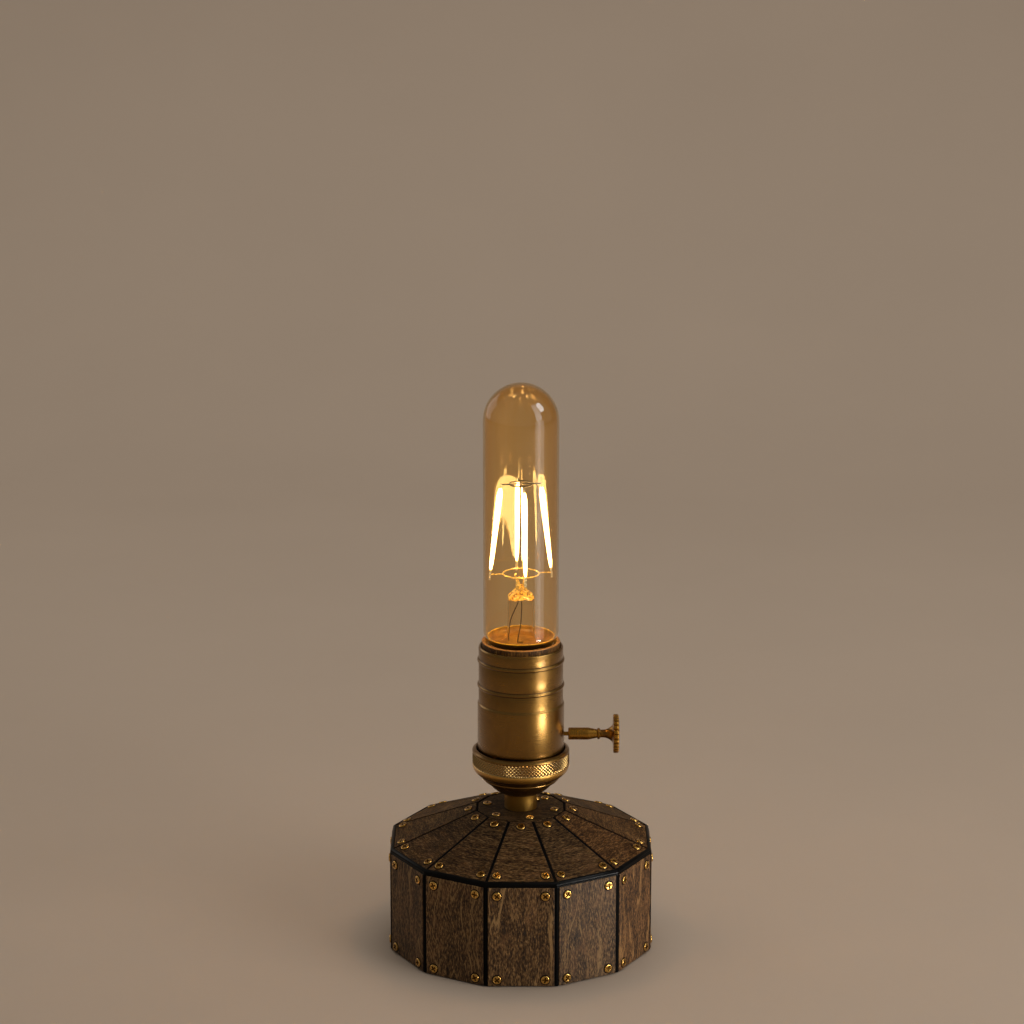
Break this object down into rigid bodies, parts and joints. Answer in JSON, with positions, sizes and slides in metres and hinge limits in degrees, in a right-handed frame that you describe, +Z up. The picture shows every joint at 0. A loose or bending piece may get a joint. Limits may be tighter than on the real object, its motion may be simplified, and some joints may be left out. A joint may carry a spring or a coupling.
{
  "type": "table lamp",
  "caption": "Table lamp with a bare tubular filament bulb in a brass keyed lamp holder on a low polygonal drum of dark screwed plates.",
  "frame": {"origin": "on the table under the middle of the drum", "axes": "+Z up along the bulb, -Y towards the front, +X towards the switch key, +Y towards the cable inlet"},
  "size_m": [0.1062, 0.1062, 0.2313],
  "materials": {
    "stained_plate": "satin",
    "black_carcass": "matt",
    "black_rim": "gloss",
    "board": "matt",
    "felt": "matt",
    "brass_screw": "polished",
    "steel": "satin",
    "black_bushing": "matt",
    "terminal": "matt",
    "wire": "satin",
    "holder_brass": "satin",
    "grub_brass": "satin",
    "fibre": "satin",
    "porcelain": "gloss",
    "contact_brass": "polished",
    "key_bronze": "satin",
    "bulb_glass": "gloss",
    "stem_glass": "gloss",
    "bulb_cap": "satin",
    "insulator": "gloss",
    "solder": "satin",
    "driver": "satin",
    "support_wire": "satin",
    "filament": "matt",
    "lead": "satin"
  },
  "bodies": {
    "base": {"side_plate_01": "stained_plate", "side_plate_02": "stained_plate", "side_plate_03": "stained_plate", "side_plate_04": "stained_plate", "side_plate_05": "stained_plate", "side_plate_06": "stained_plate", "side_plate_07": "stained_plate", "side_plate_08": "stained_plate", "side_plate_09": "stained_plate", "side_plate_10": "stained_plate", "side_plate_11": "stained_plate", "side_plate_12": "stained_plate", "roof_plate_01": "stained_plate", "roof_plate_02": "stained_plate", "roof_plate_03": "stained_plate", "roof_plate_04": "stained_plate", "roof_plate_05": "stained_plate", "roof_plate_06": "stained_plate", "roof_plate_07": "stained_plate", "roof_plate_08": "stained_plate", "roof_plate_09": "stained_plate", "roof_plate_10": "stained_plate", "roof_plate_11": "stained_plate", "roof_plate_12": "stained_plate", "centre_plate": "stained_plate", "drum_wall": "black_carcass", "roof_deck": "black_carcass", "rim_band": "black_rim", "bottom_board": "board", "felt_pad": "felt", "plate_screws": "brass_screw", "board_screws": "steel", "threaded_nipple": "steel", "nipple_nut": "steel", "cable_gland": "black_bushing", "terminal_block": "terminal", "inner_wires": "wire", "holder_cap": "holder_brass", "knurled_ring": "holder_brass", "holder_shell": "holder_brass", "grub_screw": "grub_brass", "insulating_liner": "fibre", "switch_body": "porcelain", "screw_shell": "contact_brass", "centre_contact": "contact_brass"},
    "key": {"switch_spindle": "key_bronze", "key_knob": "key_bronze"},
    "bulb_lift": {"contact_tip": "solder"},
    "bulb": {"bulb_glass": "bulb_glass", "bulb_cap": "bulb_cap", "cap_insulator": "insulator", "led_driver": "driver", "bulb_stem": "stem_glass", "lower_ring": "support_wire", "upper_ring": "support_wire", "filament_tabs": "support_wire", "led_filaments": "filament", "lead_wires": "lead"}
  },
  "joints": [
    {"name": "key_turn", "type": "hinge", "parent": "base", "child": "key", "pos_m": [0.02, 0, 0.08733], "axis": [1, 0, 0], "continuous": true},
    {"name": "bulb_rise", "type": "slide", "parent": "base", "child": "bulb_lift", "axis": [0, 0, 1], "range_m": [0, 0.01452]},
    {"name": "bulb_turn", "type": "hinge", "parent": "bulb_lift", "child": "bulb", "pos_m": [0, 0, 0.13], "axis": [0, 0, 1], "range_deg": [0, 1440]}
  ],
  "couplings": [
    {"joint": "bulb_rise", "follows": "bulb_turn", "m_per_rad": 0.0005775}
  ]
}
